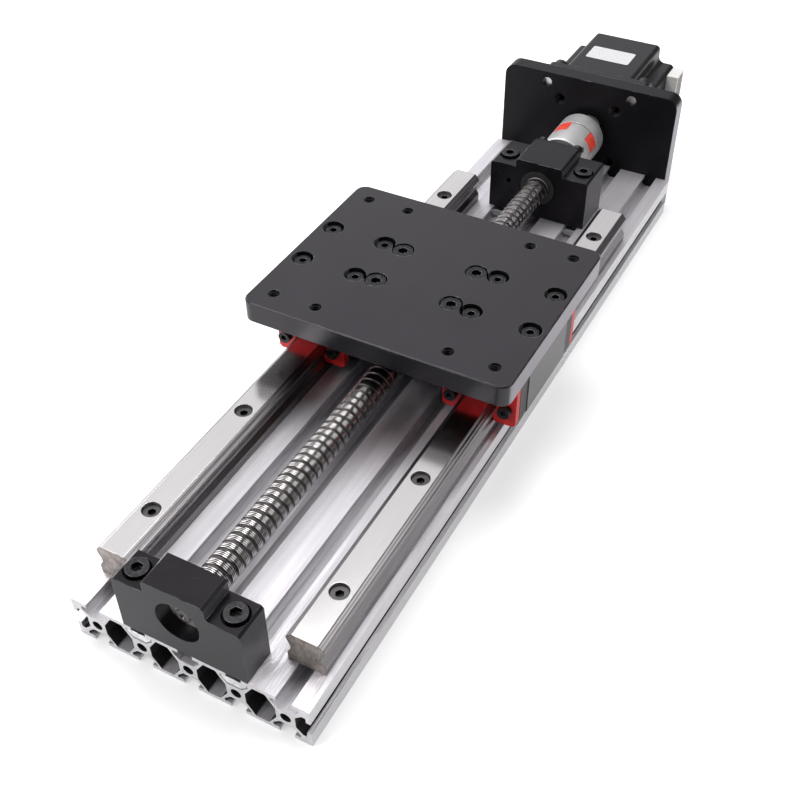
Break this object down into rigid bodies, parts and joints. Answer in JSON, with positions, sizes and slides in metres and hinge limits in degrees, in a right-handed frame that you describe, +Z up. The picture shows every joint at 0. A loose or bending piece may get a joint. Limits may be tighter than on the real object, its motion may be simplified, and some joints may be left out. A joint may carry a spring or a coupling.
{
  "type": "ball screw linear module",
  "caption": "Motor-driven ball screw linear stage: slotted aluminium base, profiled rails, screw supports, jaw coupling and a flat carriage plate.",
  "frame": {"origin": "centre of the footprint, on the underside of the base extrusion", "axes": "+Y along the rails from the floating support to the motor, +X across to the right seen from the floating end, +Z up out of the carriage plate"},
  "size_m": [0.12, 0.426, 0.066],
  "materials": {
    "raw_aluminium": "satin",
    "black_anodised": "satin",
    "coupling_aluminium": "satin",
    "rail_steel": "satin",
    "polished_steel": "gloss",
    "bearing_steel": "gloss",
    "black_oxide_steel": "satin",
    "zinc_steel": "satin",
    "black_plastic": "satin",
    "red_rubber": "satin",
    "black_rubber": "matte",
    "motor_black": "satin",
    "white_plastic": "satin",
    "copper_winding": "satin",
    "brass": "satin"
  },
  "bodies": {
    "base": {"base_profile": "raw_aluminium", "front_bearing_outer_ring": "bearing_steel", "front_support_block": "black_oxide_steel", "left_rail": "rail_steel", "motor_bearings": "bearing_steel", "motor_connector": "white_plastic", "motor_front_flange": "motor_black", "motor_mount_screws": "zinc_steel", "motor_plate": "black_anodised", "motor_plate_screws": "black_oxide_steel", "motor_rear_cap": "motor_black", "motor_stator": "motor_black", "motor_tie_screws": "zinc_steel", "motor_windings": "copper_winding", "rail_screws": "black_oxide_steel", "rail_slot_nuts": "zinc_steel", "rear_bearing_lid": "black_oxide_steel", "rear_bearing_outer_rings": "bearing_steel", "rear_lid_screws": "black_oxide_steel", "rear_support_block": "black_oxide_steel", "rear_support_seal": "black_rubber", "right_rail": "rail_steel", "support_screws": "black_oxide_steel", "support_slot_nuts": "zinc_steel"},
    "carriage": {"left_block_body": "rail_steel", "left_block_end_caps": "black_plastic", "left_block_end_screws": "black_oxide_steel", "left_block_grease_nipple": "brass", "left_block_seals": "red_rubber", "left_block_spacer": "black_anodised", "right_block_body": "rail_steel", "right_block_end_caps": "black_plastic", "right_block_end_screws": "black_oxide_steel", "right_block_grease_nipple": "brass", "right_block_seals": "red_rubber", "right_block_spacer": "black_anodised", "ball_nut": "bearing_steel", "nut_wipers": "black_plastic", "nut_flange_screws": "black_oxide_steel", "nut_housing": "black_anodised", "carriage_plate": "black_anodised", "plate_block_screws": "black_oxide_steel", "plate_nut_screws": "black_oxide_steel"},
    "screw": {"ball_screw": "polished_steel", "front_bearing_inner_ring": "bearing_steel", "front_bearing_balls": "bearing_steel", "front_snap_ring": "bearing_steel", "rear_bearing_inner_rings": "bearing_steel", "rear_bearing_balls": "bearing_steel", "rear_spacer_collars": "bearing_steel", "lock_nut": "black_oxide_steel", "lock_nut_set_screw": "black_oxide_steel", "coupling_front_hub": "coupling_aluminium", "coupling_rear_hub": "coupling_aluminium", "coupling_spider": "red_rubber", "coupling_set_screws": "black_oxide_steel", "motor_shaft": "polished_steel", "motor_rotor": "rail_steel"}
  },
  "joints": [
    {"name": "carriage_slide", "type": "slide", "parent": "base", "child": "carriage", "axis": [0, 1, 0], "range_m": [-0.1147, 0.0718]},
    {"name": "screw_spin", "type": "hinge", "parent": "base", "child": "screw", "pos_m": [0, 0, 0.037], "axis": [0, 1, 0], "range_deg": [-6463, 10324]}
  ],
  "couplings": [
    {"joint": "screw_spin", "follows": "carriage_slide", "rad_per_m": -1570.8}
  ]
}
